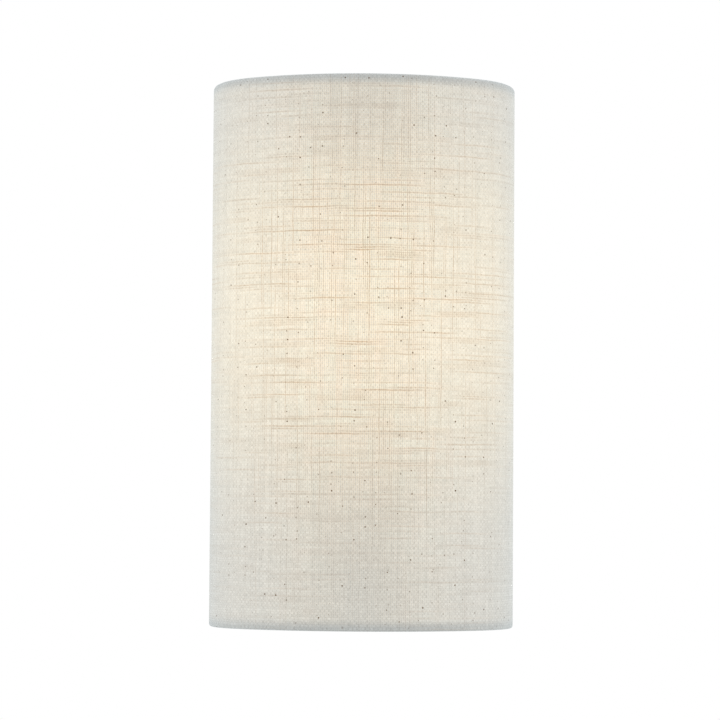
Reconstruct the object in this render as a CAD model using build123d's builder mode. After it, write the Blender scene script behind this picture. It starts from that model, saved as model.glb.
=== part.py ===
from build123d import *
from math import atan2, degrees, sqrt
import os

# Fabric shade wall light. The wall is the plane y = 0 and the light stands out from it towards -Y,
# with +Z up and +X to the right of someone who faces it. The origin is the middle of the two wall
# screw slots, level with the middle of the shade. "out" always means the distance from the wall.
os.makedirs("parts", exist_ok=True)

# ------------------------------------------------------------------ driving sizes, millimetres
# Shade: bow-fronted, open at the top, at the bottom and towards the wall
shade_width = 168.0
shade_height = 300.0
wall_gap = 3.0  # between the back edges of the shade and the wall
side_return = 30.0  # straight part of each side, from the back edge to where the bow starts
bow_depth = 57.0  # how far the bow stands in front of the straight sides
corner_radius = 46.0  # arc between each straight side and the flatter front arc
fabric_thickness = 0.6
liner_thickness = 0.5
rim_roll_radius = 2.6  # cloth rolled round a rim wire or an upright
frame_wire_radius = 1.5
wire_in_roll_clearance = 0.05
liner_edge_clearance = 0.2  # liner to the cloth rolls that frame it

# Wall box: a pressed pan, open towards the wall
box_width = 100.0
box_height = 200.0
box_depth = 20.0
box_wall = 1.0
box_corner_radius = 8.0
box_front_radius = 2.5

# Wall strap, screwed to the wall through two slots, with tapped collars for the box screws
strap_length = 96.0
strap_height = 18.0
strap_thickness = 1.5
strap_corner_radius = 4.0
slot_spacing = 60.0
slot_length = 14.0
slot_width = 4.5
cable_hole_radius = 8.0
box_screw_spacing = 84.0
collar_radius = 3.4
collar_height = 2.5

# Hook on top of the box, which carries the shade
hanger_rise = 10.0  # middle of the hanger wire above the top of the box
hook_length = 80.0
hook_strip_width = 12.0
hook_back_out = 2.0
hook_thickness = 1.5
hook_ear_rise = 7.0  # ear above the middle of the hanger wire
hook_bend_radius = 1.0
hook_notch_width = 3.4
hook_seat_clearance = 0.05
hook_rivet_spacing = 50.0

# Bracket under the lampholder
lamp_out = 50.0  # lamp axis from the wall
bracket_seat = 70.0  # top of the bracket's shelf below the middle of the shade
bracket_width = 25.0
bracket_thickness = 1.5
bracket_leg_height = 30.0
bracket_front = 15.0  # shelf in front of the lamp axis
bracket_bend_radius = 2.0
bracket_rivet_spacing = 14.0
bracket_rivet_drop = 8.0  # rivets below the top of the bracket's leg
bracket_end_radius = 6.0

# Rivets, screws and their clearances
rivet_radius = 1.6
rivet_head_radius = 3.0
rivet_head_height = 1.2
rivet_tail_radius = 2.6
rivet_tail_height = 1.0
fastener_clearance = 0.05
box_screw_radius = 2.0
box_screw_head_radius = 4.0
box_screw_head_height = 2.6
box_screw_tip_out = 0.6
box_screw_hole_clearance = 0.25
recess_width = 0.9
recess_span = 4.2
recess_depth = 1.3

# Threaded tube that joins the lampholder to its bracket
tube_radius = 5.0
tube_bore_radius = 3.5
tube_length = 14.0
tube_above_seat = 7.0
tube_hole_clearance = 0.1
tube_end_chamfer = 0.5
nut_across_flats = 14.0
nut_height = 4.0
washer_radius = 8.4
washer_thickness = 0.8
washer_teeth = 12
washer_notch_width = 1.4
washer_notch_depth = 1.8

# Lampholder
holder_height = 50.0
holder_radius = 14.0
holder_wall = 1.5
holder_neck_radius = 9.0
holder_neck_height = 4.0
holder_shoulder_height = 10.0
holder_joint_height = 12.0  # seam between the cap and the skirt, above the bracket
holder_floor = 8.0  # threaded part of the cap
holder_fit = 0.1  # between the pieces that slide into each other
holder_lip_thickness = 1.5
holder_mouth_radius = 8.8
holder_edge_radius = 1.0
insert_floor = 6.0
insert_contact_room = 2.5  # insert floor below the lamp's contact
insert_pit_radius = 6.6
insert_pit_height = 4.0
thread_shell_radius = 7.8
contact_strip_width = 4.0
contact_strip_length = 10.0
contact_strip_thickness = 0.5
terminal_size = (5.0, 6.0, 7.0)
terminal_spacing = 9.0

# Lamp: opal golf ball on a small screw cap
lamp_seat_gap = 0.4  # lamp's collar above the holder's lip
cap_length = 18.5
cap_plain_height = 2.0
cap_bore_radius = 5.6
thread_mean_radius = 6.6
thread_depth = 0.6
thread_pitch = 2.8
thread_turns = 4
thread_clearance = 0.15
insulator_height = 3.5
lamp_contact_radius = 2.4
lamp_contact_height = 1.4
collar_neck_radius = 8.2
collar_neck_height = 2.0
collar_full_height = 20.0
collar_rim_height = 3.0
collar_wall = 1.6
globe_radius = 22.5
globe_wall = 1.2
globe_opening_radius = 17.0
board_radius = 15.0
board_thickness = 1.2
chip_size = (2.8, 3.5, 0.8)
chip_count = 8
chip_circle_radius = 10.0

# Terminal block inside the box
block_size = (26.0, 13.0, 17.0)
block_bottom = 30.0
block_edge_radius = 1.0
pole_pitch = 8.0
pole_count = 3
tunnel_radius = 2.6
pole_out = 12.5
terminal_tube_radius = 2.5
terminal_tube_bore = 1.6
terminal_tube_length = 15.0
terminal_screw_radius = 1.4
terminal_screw_spacing = 8.0
terminal_screw_sink = 1.0  # screw heads below the block's back face
screw_slot_width = 0.5
screw_slot_depth = 0.6
block_screw_radius = 1.2
block_screw_head_radius = 2.3
block_screw_head_height = 1.5

# Wires and their grommet
wire_radius = 1.1
wire_half_spread = 2.0  # live and neutral each side of the middle, in the grommet and the tube
wire_entry = 7.0  # how far a wire goes up into the terminal block
wire_bend_radius = 11.5
grommet_wire_clearance = 0.2
grommet_hub_radius = 5.4
grommet_flange_radius = 7.0
grommet_flange_thickness = 1.8

# Earth tag and screw on the inside of the box
earth_x = 25.0
earth_z = -24.0
tag_ring_radius = 4.0
tag_thickness = 0.8
tag_tongue_width = 3.2
tag_tongue_length = 11.0
tag_barrel_radius = 1.8
tag_barrel_length = 7.0
earth_screw_head_radius = 3.6
earth_screw_head_height = 2.4

# ------------------------------------------------------------------ places worked out from them
bow_start = wall_gap + side_return
corner_x = shade_width / 2 - corner_radius
bow_squares = corner_x**2 + bow_depth**2 - corner_radius**2
front_radius = bow_squares / (2 * (bow_depth - corner_radius))
front_centre_y = front_radius - bow_start - bow_depth
front_half_angle = degrees(atan2(corner_x, front_radius - bow_depth))
rim_wire_z = shade_height / 2 - rim_roll_radius
upright_x = shade_width / 2 - rim_roll_radius
upright_out = wall_gap + rim_roll_radius
roll_bore = frame_wire_radius + wire_in_roll_clearance
liner_back_out = wall_gap + 2 * rim_roll_radius + liner_edge_clearance
liner_half_height = shade_height / 2 - 2 * rim_roll_radius - liner_edge_clearance

box_top = box_height / 2
box_inside_out = box_depth - box_wall
hanger_z = box_top + hanger_rise
hook_notch_bottom = hanger_z - frame_wire_radius - hook_seat_clearance
hook_rivet_out = hook_back_out + hook_strip_width / 2

shelf_top = -bracket_seat
shelf_bottom = shelf_top - bracket_thickness
bracket_leg_out = box_depth + bracket_thickness
bracket_rivet_z = shelf_bottom + bracket_leg_height - bracket_rivet_drop
washer_bottom = shelf_bottom - washer_thickness
tube_top = shelf_top + tube_above_seat
tube_bottom = tube_top - tube_length

holder_top = shelf_top + holder_height
holder_seam = shelf_top + holder_joint_height
holder_inner_radius = holder_radius - holder_wall
insert_radius = holder_inner_radius - holder_fit
insert_top = holder_top - holder_lip_thickness - holder_fit
cap_top = holder_top + lamp_seat_gap
contact_bottom = cap_top - cap_length
insert_floor_top = contact_bottom - insert_contact_room
insert_bottom = insert_floor_top - insert_floor
thread_start = cap_top - cap_plain_height - thread_turns * thread_pitch
globe_seat = cap_top + collar_full_height
globe_z = globe_seat + sqrt(globe_radius**2 - globe_opening_radius**2)

block_top = block_bottom + block_size[2]
block_middle = block_bottom + block_size[2] / 2
block_back_out = box_inside_out - block_size[1]
grommet_z = tube_bottom - wire_bend_radius
grommet_bore = wire_half_spread + wire_radius + grommet_wire_clearance

lamp_section = Plane.XZ.offset(lamp_out)
lamp_axis = Axis((0, -lamp_out, 0), (0, 0, 1))


# ------------------------------------------------------------------ shapes used more than once
def bow_line(inset, back_out, height):
    """Plan line of the shade moved in by inset, open at the back, which it meets at back_out."""
    half_width = shade_width / 2 - inset
    with BuildLine(Plane.XY.offset(height)) as line:
        Line((-half_width, -back_out), (-half_width, -bow_start))
        CenterArc((-corner_x, -bow_start), corner_radius - inset, 180, 90 - front_half_angle)
        CenterArc(
            (0, front_centre_y), front_radius - inset, 270 - front_half_angle, 2 * front_half_angle
        )
        CenterArc(
            (corner_x, -bow_start),
            corner_radius - inset,
            270 + front_half_angle,
            90 - front_half_angle,
        )
        Line((half_width, -bow_start), (half_width, -back_out))
    return line.line


def bow_band(outer_inset, inner_inset, back_out, height):
    """Flat band between two plan lines of the shade."""
    outer = bow_line(outer_inset, back_out, height)
    inner = bow_line(inner_inset, back_out, height)
    with BuildSketch(Plane.XY.offset(height)) as band:
        with BuildLine():
            add(outer)
            add(inner)
            Line(outer @ 0, inner @ 0)
            Line(outer @ 1, inner @ 1)
        make_face()
    return band.sketch


def round_section(path, radius):
    """Disc square to the start of a path, for a rod or a wire along it."""
    with BuildSketch(Plane(origin=path @ 0, z_dir=path % 0)) as section:
        Circle(radius)
    return section.sketch


def edge_plane(side):
    """Upright plane across one back edge of the shade: x runs outwards from the upright."""
    return Plane(
        origin=(side * upright_x, -upright_out, 0), x_dir=(side, 0, 0), z_dir=(0, -1, 0)
    )


def cloth_section(side):
    """Section through the cloth at one back edge: the skin and the rolls above and below it."""
    roll_centres = [(0, -rim_wire_z), (0, rim_wire_z)]
    with BuildSketch(edge_plane(side)) as section:
        with Locations((rim_roll_radius - fabric_thickness / 2, 0)):
            Rectangle(fabric_thickness, 2 * rim_wire_z)
        with Locations(*roll_centres):
            Circle(rim_roll_radius)
        with Locations(*roll_centres):
            Circle(roll_bore, mode=Mode.SUBTRACT)
    return section.sketch


def outer_half(section, side):
    """The part of a section that lies outside the upright's middle."""
    with BuildSketch(edge_plane(side)) as half:
        Rectangle(rim_roll_radius, shade_height, align=(Align.MIN, Align.CENTER))
    return half.sketch & section


def turned_section(*points):
    """Half section of a turned piece on the lamp axis, through pairs of radius and height."""
    with BuildSketch(lamp_section) as section:
        with BuildLine():
            Polyline(*points, close=True)
        make_face()
    return section.sketch


def thread_edge(mean_radius):
    """Rounded thread outline: a crest arc and a root arc for each turn, climbing."""
    quarter = thread_pitch / 4
    for turn in range(thread_turns):
        foot = thread_start + turn * thread_pitch
        middle = foot + 2 * quarter
        ThreePointArc(
            (mean_radius, foot),
            (mean_radius + thread_depth / 2, foot + quarter),
            (mean_radius, middle),
        )
        ThreePointArc(
            (mean_radius, middle),
            (mean_radius - thread_depth / 2, middle + quarter),
            (mean_radius, foot + thread_pitch),
        )


def facing_out(x, out, z):
    """Place whose own Z axis points away from the wall."""
    return Location((x, -out, z), (90, 0, 0))


def rod_up(radius, height):
    """Cylinder that starts at the current place and runs along its Z axis."""
    Cylinder(radius, height, align=(Align.CENTER, Align.CENTER, Align.MIN))


def rod_down(radius, height, mode=Mode.ADD):
    """Cylinder that starts at the current place and runs back along its Z axis."""
    Cylinder(radius, height, align=(Align.CENTER, Align.CENTER, Align.MAX), mode=mode)


def domed_head(radius, height):
    """Head that stands on the current place: a short rim under a cone."""
    low = height / 2
    rod_up(radius, low)
    top_radius = radius - low
    with Locations((0, 0, low)):
        Cone(radius, top_radius, height - low, align=(Align.CENTER, Align.CENTER, Align.MIN))


def rivet(grip):
    """Rivet through the grip behind the current place: domed head, shank and upset tail."""
    domed_head(rivet_head_radius, rivet_head_height)
    rod_down(rivet_radius, grip)
    with Locations((0, 0, -grip)):
        rod_down(rivet_tail_radius, rivet_tail_height)


def cross_recess(head_height):
    """Cross slot cut into a head of the given height."""
    with Locations((0, 0, head_height)):
        for span in ((recess_span, recess_width), (recess_width, recess_span)):
            Box(*span, recess_depth, align=(Align.CENTER, Align.CENTER, Align.MAX), mode=Mode.SUBTRACT)


def straight_slot(radius, head_height):
    """Driver slot across a head of the given height."""
    with Locations((0, 0, head_height)):
        Box(
            2 * radius,
            screw_slot_width,
            screw_slot_depth,
            align=(Align.CENTER, Align.CENTER, Align.MAX),
            mode=Mode.SUBTRACT,
        )


def finish(piece, name):
    """Label a finished piece and write its file."""
    piece.label = name
    export_step(piece, f"parts/{name}.step")


# ------------------------------------------------------------------ shade: frame, cloth, liner
rim_path = bow_line(rim_roll_radius, upright_out, rim_wire_z)
foot_path = bow_line(rim_roll_radius, upright_out, -rim_wire_z)
corner_places = [
    (side * upright_x, -upright_out, level)
    for side in (-1, 1)
    for level in (-rim_wire_z, rim_wire_z)
]
across = (0, 90, 0)  # turns a cylinder to lie along X
upright_height = 2 * (rim_wire_z - frame_wire_radius)

# Cloth: the skin and its rolls round the rim wires follow the bow, and turn round each upright
with BuildPart() as fabric_cover:
    sweep(cloth_section(-1), path=bow_line(rim_roll_radius, upright_out, 0))
    for side in (-1, 1):
        edge_axis = Axis((side * upright_x, -upright_out, 0), (0, 0, side))
        revolve(outer_half(cloth_section(side), side), axis=edge_axis, revolution_arc=180)
    # room for the uprights and for the two wires that cross the back
    with Locations((-upright_x, -upright_out, 0), (upright_x, -upright_out, 0)):
        Cylinder(roll_bore, 2 * rim_wire_z, mode=Mode.SUBTRACT)
    with Locations(
        Location((0, -upright_out, rim_wire_z), across),
        Location((0, -upright_out, hanger_z), across),
    ):
        Cylinder(roll_bore, 2 * upright_x, mode=Mode.SUBTRACT)
finish(fabric_cover.part, "fabric_cover")

with BuildPart() as shade_liner:
    extrude(
        bow_band(
            fabric_thickness,
            fabric_thickness + liner_thickness,
            liner_back_out,
            -liner_half_height,
        ),
        amount=2 * liner_half_height,
    )
finish(shade_liner.part, "shade_liner")

with BuildPart() as top_ring:
    sweep(round_section(rim_path, frame_wire_radius), path=rim_path)
    with Locations(Location((0, -upright_out, rim_wire_z), across)):
        Cylinder(frame_wire_radius, 2 * upright_x)
    with Locations(corner_places[1], corner_places[3]):
        Sphere(frame_wire_radius)
finish(top_ring.part, "top_ring")

# The bottom ring has no back wire, so the shade lifts past the wall box
with BuildPart() as bottom_ring:
    sweep(round_section(foot_path, frame_wire_radius), path=foot_path)
    with Locations(corner_places[0], corner_places[2]):
        Sphere(frame_wire_radius)
finish(bottom_ring.part, "bottom_ring")

for side, name in ((-1, "upright_left"), (1, "upright_right")):
    with BuildPart() as upright:
        with Locations((side * upright_x, -upright_out, 0)):
            Cylinder(frame_wire_radius, upright_height)
    finish(upright.part, name)

with BuildPart() as hanger_wire:
    with Locations(Location((0, -upright_out, hanger_z), across)):
        Cylinder(frame_wire_radius, 2 * (upright_x - frame_wire_radius))
finish(hanger_wire.part, "hanger_wire")

# ------------------------------------------------------------------ wall strap and wall box
box_screw_x = box_screw_spacing / 2
with BuildPart() as wall_strap:
    with BuildSketch(Plane.XZ):
        RectangleRounded(strap_length, strap_height, strap_corner_radius)
        Circle(cable_hole_radius, mode=Mode.SUBTRACT)
        with GridLocations(slot_spacing, 0, 2, 1):
            SlotOverall(slot_length, slot_width, mode=Mode.SUBTRACT)
    extrude(amount=strap_thickness)
    with BuildSketch(Plane.XZ.offset(strap_thickness)):
        with GridLocations(box_screw_spacing, 0, 2, 1):
            Circle(collar_radius)
    extrude(amount=collar_height)
    with BuildSketch(Plane.XZ):
        with GridLocations(box_screw_spacing, 0, 2, 1):
            Circle(box_screw_radius + fastener_clearance)
    extrude(amount=strap_thickness + collar_height, mode=Mode.SUBTRACT)
finish(wall_strap.part, "wall_strap")

with BuildPart() as wall_box:
    with BuildSketch(Plane.XZ):
        RectangleRounded(box_width, box_height, box_corner_radius)
    extrude(amount=box_depth)
    fillet(wall_box.faces().sort_by(Axis.Y)[0].edges(), box_front_radius)
    offset(amount=-box_wall, openings=wall_box.faces().sort_by(Axis.Y)[-1])
    with BuildSketch(Plane.XZ.offset(box_inside_out)):
        with GridLocations(box_screw_spacing, 0, 2, 1):
            Circle(box_screw_radius + box_screw_hole_clearance)
        with Locations((0, grommet_z)):
            Circle(grommet_hub_radius + fastener_clearance)
        with Locations((0, bracket_rivet_z)):
            with GridLocations(bracket_rivet_spacing, 0, 2, 1):
                Circle(rivet_radius + fastener_clearance)
        with Locations((earth_x, earth_z)):
            Circle(box_screw_radius + fastener_clearance)
        with Locations((pole_pitch / 2, block_middle)):
            Circle(block_screw_radius + fastener_clearance)
    extrude(amount=box_wall, mode=Mode.SUBTRACT)
    with BuildSketch(Plane.XY.offset(box_top - box_wall)):
        with Locations((0, -hook_rivet_out)):
            with GridLocations(hook_rivet_spacing, 0, 2, 1):
                Circle(rivet_radius + fastener_clearance)
    extrude(amount=box_wall, mode=Mode.SUBTRACT)
finish(wall_box.part, "wall_box")

with BuildPart() as box_screws:
    with Locations(facing_out(-box_screw_x, box_depth, 0), facing_out(box_screw_x, box_depth, 0)):
        domed_head(box_screw_head_radius, box_screw_head_height)
        rod_down(box_screw_radius, box_depth - box_screw_tip_out)
        cross_recess(box_screw_head_height)
finish(box_screws.part, "box_screws")

# ------------------------------------------------------------------ hook that carries the shade
with BuildPart() as hook_bracket:
    ear_top = hanger_z + hook_ear_rise
    half_length = hook_length / 2
    with BuildSketch(Plane.XZ.offset(hook_back_out)):
        with BuildLine():
            Polyline(
                (-half_length, ear_top),
                (-half_length, box_top),
                (half_length, box_top),
                (half_length, ear_top),
                (half_length - hook_thickness, ear_top),
                (half_length - hook_thickness, box_top + hook_thickness),
                (hook_thickness - half_length, box_top + hook_thickness),
                (hook_thickness - half_length, ear_top),
                close=True,
            )
        channel = make_face()
        by_height = channel.vertices().group_by(Axis.Y)
        fillet(by_height[0], hook_bend_radius + hook_thickness)
        fillet(by_height[1], hook_bend_radius)
    extrude(amount=hook_strip_width)
    with BuildSketch(Plane.YZ):
        notch_middle = hook_notch_bottom + hook_notch_width / 2
        with Locations((-upright_out, notch_middle)):
            Circle(hook_notch_width / 2)
            Rectangle(
                hook_notch_width,
                ear_top - notch_middle,
                align=(Align.CENTER, Align.MIN),
            )
    extrude(amount=half_length, both=True, mode=Mode.SUBTRACT)
    with BuildSketch(Plane.XY.offset(box_top)):
        with Locations((0, -hook_rivet_out)):
            with GridLocations(hook_rivet_spacing, 0, 2, 1):
                Circle(rivet_radius + fastener_clearance)
    extrude(amount=hook_thickness, mode=Mode.SUBTRACT)
finish(hook_bracket.part, "hook_bracket")

with BuildPart() as hook_rivets:
    with Locations(
        (-hook_rivet_spacing / 2, -hook_rivet_out, box_top + hook_thickness),
        (hook_rivet_spacing / 2, -hook_rivet_out, box_top + hook_thickness),
    ):
        rivet(hook_thickness + box_wall)
finish(hook_rivets.part, "hook_rivets")

# ------------------------------------------------------------------ bracket under the lampholder
with BuildPart() as lamp_bracket:
    leg_top = shelf_bottom + bracket_leg_height
    shelf_front = lamp_out + bracket_front
    with BuildSketch(Plane.YZ):
        with BuildLine():
            Polyline(
                (-box_depth, leg_top),
                (-box_depth, shelf_bottom),
                (-shelf_front, shelf_bottom),
                (-shelf_front, shelf_top),
                (-bracket_leg_out, shelf_top),
                (-bracket_leg_out, leg_top),
                close=True,
            )
        bend = make_face()
        outer_corner = bend.vertices().sort_by_distance((-box_depth, shelf_bottom))[0]
        inner_corner = bend.vertices().sort_by_distance((-bracket_leg_out, shelf_top))[0]
        fillet(outer_corner, bracket_bend_radius + bracket_thickness)
        fillet(inner_corner, bracket_bend_radius)
    extrude(amount=bracket_width / 2, both=True)
    fillet(
        lamp_bracket.edges().filter_by(Axis.Z).group_by(Axis.Y)[0],
        bracket_end_radius,
    )
    with BuildSketch(Plane.XY.offset(shelf_bottom)):
        with Locations((0, -lamp_out)):
            Circle(tube_radius + tube_hole_clearance)
    extrude(amount=bracket_thickness, mode=Mode.SUBTRACT)
    with BuildSketch(Plane.XZ.offset(box_depth)):
        with Locations((0, bracket_rivet_z)):
            with GridLocations(bracket_rivet_spacing, 0, 2, 1):
                Circle(rivet_radius + fastener_clearance)
    extrude(amount=bracket_thickness, mode=Mode.SUBTRACT)
finish(lamp_bracket.part, "lamp_bracket")

with BuildPart() as bracket_rivets:
    with Locations(
        facing_out(-bracket_rivet_spacing / 2, bracket_leg_out, bracket_rivet_z),
        facing_out(bracket_rivet_spacing / 2, bracket_leg_out, bracket_rivet_z),
    ):
        rivet(bracket_thickness + box_wall)
finish(bracket_rivets.part, "bracket_rivets")

with BuildPart() as threaded_tube:
    with BuildSketch(Plane.XY.offset(tube_bottom)):
        with Locations((0, -lamp_out)):
            Circle(tube_radius)
            Circle(tube_bore_radius, mode=Mode.SUBTRACT)
    extrude(amount=tube_length)
    rims = threaded_tube.edges().filter_by(GeomType.CIRCLE).sort_by(SortBy.RADIUS)[-2:]
    chamfer(rims, tube_end_chamfer)
finish(threaded_tube.part, "threaded_tube")

with BuildPart() as lock_washer:
    with BuildSketch(Plane.XY.offset(washer_bottom)):
        with Locations((0, -lamp_out)):
            Circle(washer_radius)
            Circle(tube_radius + tube_hole_clearance, mode=Mode.SUBTRACT)
            with PolarLocations(washer_radius - washer_notch_depth / 2, washer_teeth):
                Rectangle(washer_notch_depth, washer_notch_width, mode=Mode.SUBTRACT)
    extrude(amount=washer_thickness)
finish(lock_washer.part, "lock_washer")

with BuildPart() as tube_nut:
    with BuildSketch(Plane.XY.offset(washer_bottom - nut_height)):
        with Locations((0, -lamp_out)):
            RegularPolygon(nut_across_flats / 2, 6, major_radius=False)
            Circle(tube_radius + fastener_clearance, mode=Mode.SUBTRACT)
    extrude(amount=nut_height)
finish(tube_nut.part, "tube_nut")

# ------------------------------------------------------------------ lampholder
spigot_radius = insert_radius
spigot_bore = spigot_radius - holder_wall
with BuildPart() as holder_cap:
    neck_top = shelf_top + holder_neck_height
    shoulder = shelf_top + holder_shoulder_height
    bore = tube_radius + fastener_clearance
    revolve(
        turned_section(
            (bore, shelf_top),
            (holder_neck_radius, shelf_top),
            (holder_neck_radius, neck_top),
            (holder_radius, shoulder),
            (holder_radius, holder_seam),
            (spigot_radius, holder_seam),
            (spigot_radius, insert_bottom),
            (spigot_bore, insert_bottom),
            (spigot_bore, shelf_top + holder_floor),
            (bore, shelf_top + holder_floor),
        ),
        axis=lamp_axis,
    )
finish(holder_cap.part, "holder_cap")

with BuildPart() as holder_skirt:
    lip_bottom = holder_top - holder_lip_thickness
    revolve(
        turned_section(
            (holder_inner_radius, holder_seam),
            (holder_radius, holder_seam),
            (holder_radius, holder_top),
            (holder_mouth_radius, holder_top),
            (holder_mouth_radius, lip_bottom),
            (holder_inner_radius, lip_bottom),
        ),
        axis=lamp_axis,
    )
    top_edges = holder_skirt.edges().filter_by(GeomType.CIRCLE).group_by(Axis.Z)[-1]
    fillet(top_edges.sort_by(SortBy.RADIUS)[-1], holder_edge_radius)
finish(holder_skirt.part, "holder_skirt")

with BuildPart() as holder_insert:
    pit_top = insert_floor_top + insert_pit_height
    sleeve_bore = thread_shell_radius + fastener_clearance
    revolve(
        turned_section(
            (0, insert_bottom),
            (insert_radius, insert_bottom),
            (insert_radius, insert_top),
            (sleeve_bore, insert_top),
            (sleeve_bore, pit_top),
            (insert_pit_radius, pit_top),
            (insert_pit_radius, insert_floor_top),
            (0, insert_floor_top),
        ),
        axis=lamp_axis,
    )
finish(holder_insert.part, "holder_insert")

with BuildPart() as thread_shell:
    shell_mean = thread_mean_radius + thread_clearance
    thread_end = thread_start + thread_turns * thread_pitch
    with BuildSketch(lamp_section):
        with BuildLine():
            thread_edge(shell_mean)
            Polyline(
                (shell_mean, thread_end),
                (shell_mean + thread_depth / 2, insert_top),
                (thread_shell_radius, insert_top),
                (thread_shell_radius, pit_top),
                (shell_mean, pit_top),
                (shell_mean, thread_start),
            )
        make_face()
    revolve(axis=lamp_axis)
finish(thread_shell.part, "thread_shell")

# Centre contact: a strip on the insert's floor with its middle bowed up to the lamp
with BuildPart() as centre_contact:
    strip_end = contact_strip_length / 2
    bow_top = contact_bottom - hook_seat_clearance
    strip_top = insert_floor_top + contact_strip_thickness
    with BuildSketch(lamp_section):
        with BuildLine():
            Polyline(
                (-strip_end, insert_floor_top),
                (-strip_end, strip_top),
                (-strip_end / 2, strip_top),
                (-strip_end / 4, bow_top),
                (strip_end / 4, bow_top),
                (strip_end / 2, strip_top),
                (strip_end, strip_top),
                (strip_end, insert_floor_top),
                (strip_end / 2, insert_floor_top),
                (strip_end / 4, bow_top - contact_strip_thickness),
                (-strip_end / 4, bow_top - contact_strip_thickness),
                (-strip_end / 2, insert_floor_top),
                close=True,
            )
        make_face()
    extrude(amount=contact_strip_width / 2, both=True)
finish(centre_contact.part, "centre_contact")

with BuildPart() as holder_terminals:
    with Locations(
        (-terminal_spacing / 2, -lamp_out, insert_bottom),
        (terminal_spacing / 2, -lamp_out, insert_bottom),
    ):
        Box(*terminal_size, align=(Align.CENTER, Align.CENTER, Align.MAX))
finish(holder_terminals.part, "holder_terminals")

# ------------------------------------------------------------------ lamp
with BuildPart() as lamp_cap:
    insulator_top = contact_bottom + lamp_contact_height + insulator_height
    with BuildSketch(lamp_section):
        with BuildLine():
            thread_edge(thread_mean_radius)
            Polyline(
                (thread_mean_radius, thread_end),
                (thread_mean_radius + thread_depth / 2, cap_top),
                (cap_bore_radius, cap_top),
                (cap_bore_radius, insulator_top),
                (thread_mean_radius - thread_depth / 2, insulator_top),
                (thread_mean_radius, thread_start),
            )
        make_face()
    revolve(axis=lamp_axis)
finish(lamp_cap.part, "lamp_cap")

with BuildPart() as lamp_insulator:
    insulator_bottom = contact_bottom + lamp_contact_height
    revolve(
        turned_section(
            (0, insulator_bottom),
            (lamp_contact_radius, insulator_bottom),
            (thread_mean_radius - thread_depth / 2, insulator_top),
            (0, insulator_top),
        ),
        axis=lamp_axis,
    )
finish(lamp_insulator.part, "lamp_insulator")

with BuildPart() as lamp_contact:
    with Locations((0, -lamp_out, contact_bottom)):
        rod_up(lamp_contact_radius, lamp_contact_height)
    low_edges = lamp_contact.edges().filter_by(GeomType.CIRCLE).sort_by(Axis.Z)
    fillet(low_edges[0], lamp_contact_height / 2)
finish(lamp_contact.part, "lamp_contact")

with BuildPart() as lamp_collar:
    neck_top = cap_top + collar_neck_height
    rim_bottom = globe_seat - collar_rim_height
    board_ledge = globe_seat - board_thickness
    ledge_radius = board_radius - collar_wall
    revolve(
        turned_section(
            (cap_bore_radius, cap_top),
            (collar_neck_radius, cap_top),
            (collar_neck_radius, neck_top),
            (globe_opening_radius, rim_bottom),
            (globe_opening_radius, globe_seat),
            (board_radius + fastener_clearance, globe_seat),
            (board_radius + fastener_clearance, board_ledge),
            (ledge_radius, board_ledge),
            (ledge_radius, rim_bottom),
            (cap_bore_radius, neck_top),
        ),
        axis=lamp_axis,
    )
finish(lamp_collar.part, "lamp_collar")

with BuildPart() as lamp_globe:
    with Locations((0, -lamp_out, globe_z)):
        Sphere(globe_radius)
        Sphere(globe_radius - globe_wall, mode=Mode.SUBTRACT)
    split(bisect_by=Plane.XY.offset(globe_seat), keep=Keep.TOP)
finish(lamp_globe.part, "lamp_globe")

with BuildPart() as led_board:
    with Locations((0, -lamp_out, board_ledge)):
        rod_up(board_radius, board_thickness)
finish(led_board.part, "led_board")

with BuildPart() as led_chips:
    with Locations((0, -lamp_out, globe_seat)):
        with PolarLocations(chip_circle_radius, chip_count):
            Box(*chip_size, align=(Align.CENTER, Align.CENTER, Align.MIN))
finish(led_chips.part, "led_chips")

# ------------------------------------------------------------------ terminal block and its metal
pole_places = [(index - (pole_count - 1) / 2) * pole_pitch for index in range(pole_count)]
screw_levels = [
    block_middle - terminal_screw_spacing / 2,
    block_middle + terminal_screw_spacing / 2,
]
screw_head_out = block_back_out + terminal_screw_sink
screw_tip_out = pole_out - wire_radius
with BuildPart() as terminal_block:
    with Locations((0, -block_back_out, block_bottom)):
        Box(*block_size, align=(Align.CENTER, Align.MAX, Align.MIN))
    fillet(terminal_block.edges().filter_by(Axis.Z), block_edge_radius)
    with BuildSketch(Plane.XY.offset(block_bottom)):
        with Locations(*[(x, -pole_out) for x in pole_places]):
            Circle(tunnel_radius)
    extrude(amount=block_size[2], mode=Mode.SUBTRACT)
    with BuildSketch(Plane.XZ.offset(block_back_out)):
        with Locations(*[(x, level) for x in pole_places for level in screw_levels]):
            Circle(terminal_screw_radius + fastener_clearance)
    extrude(amount=pole_out - block_back_out, mode=Mode.SUBTRACT)
    with BuildSketch(Plane.XZ.offset(block_back_out)):
        with Locations((pole_pitch / 2, block_middle)):
            Circle(block_screw_radius + fastener_clearance)
    extrude(amount=block_size[1], mode=Mode.SUBTRACT)
finish(terminal_block.part, "terminal_block")

with BuildPart() as terminal_tubes:
    with BuildSketch(Plane.XY.offset(block_middle - terminal_tube_length / 2)):
        with Locations(*[(x, -pole_out) for x in pole_places]):
            Circle(terminal_tube_radius)
            Circle(terminal_tube_bore, mode=Mode.SUBTRACT)
    extrude(amount=terminal_tube_length)
    with BuildSketch(Plane.XZ.offset(block_back_out)):
        with Locations(*[(x, level) for x in pole_places for level in screw_levels]):
            Circle(terminal_screw_radius + fastener_clearance)
    extrude(amount=pole_out - block_back_out, mode=Mode.SUBTRACT)
finish(terminal_tubes.part, "terminal_tubes")

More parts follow.
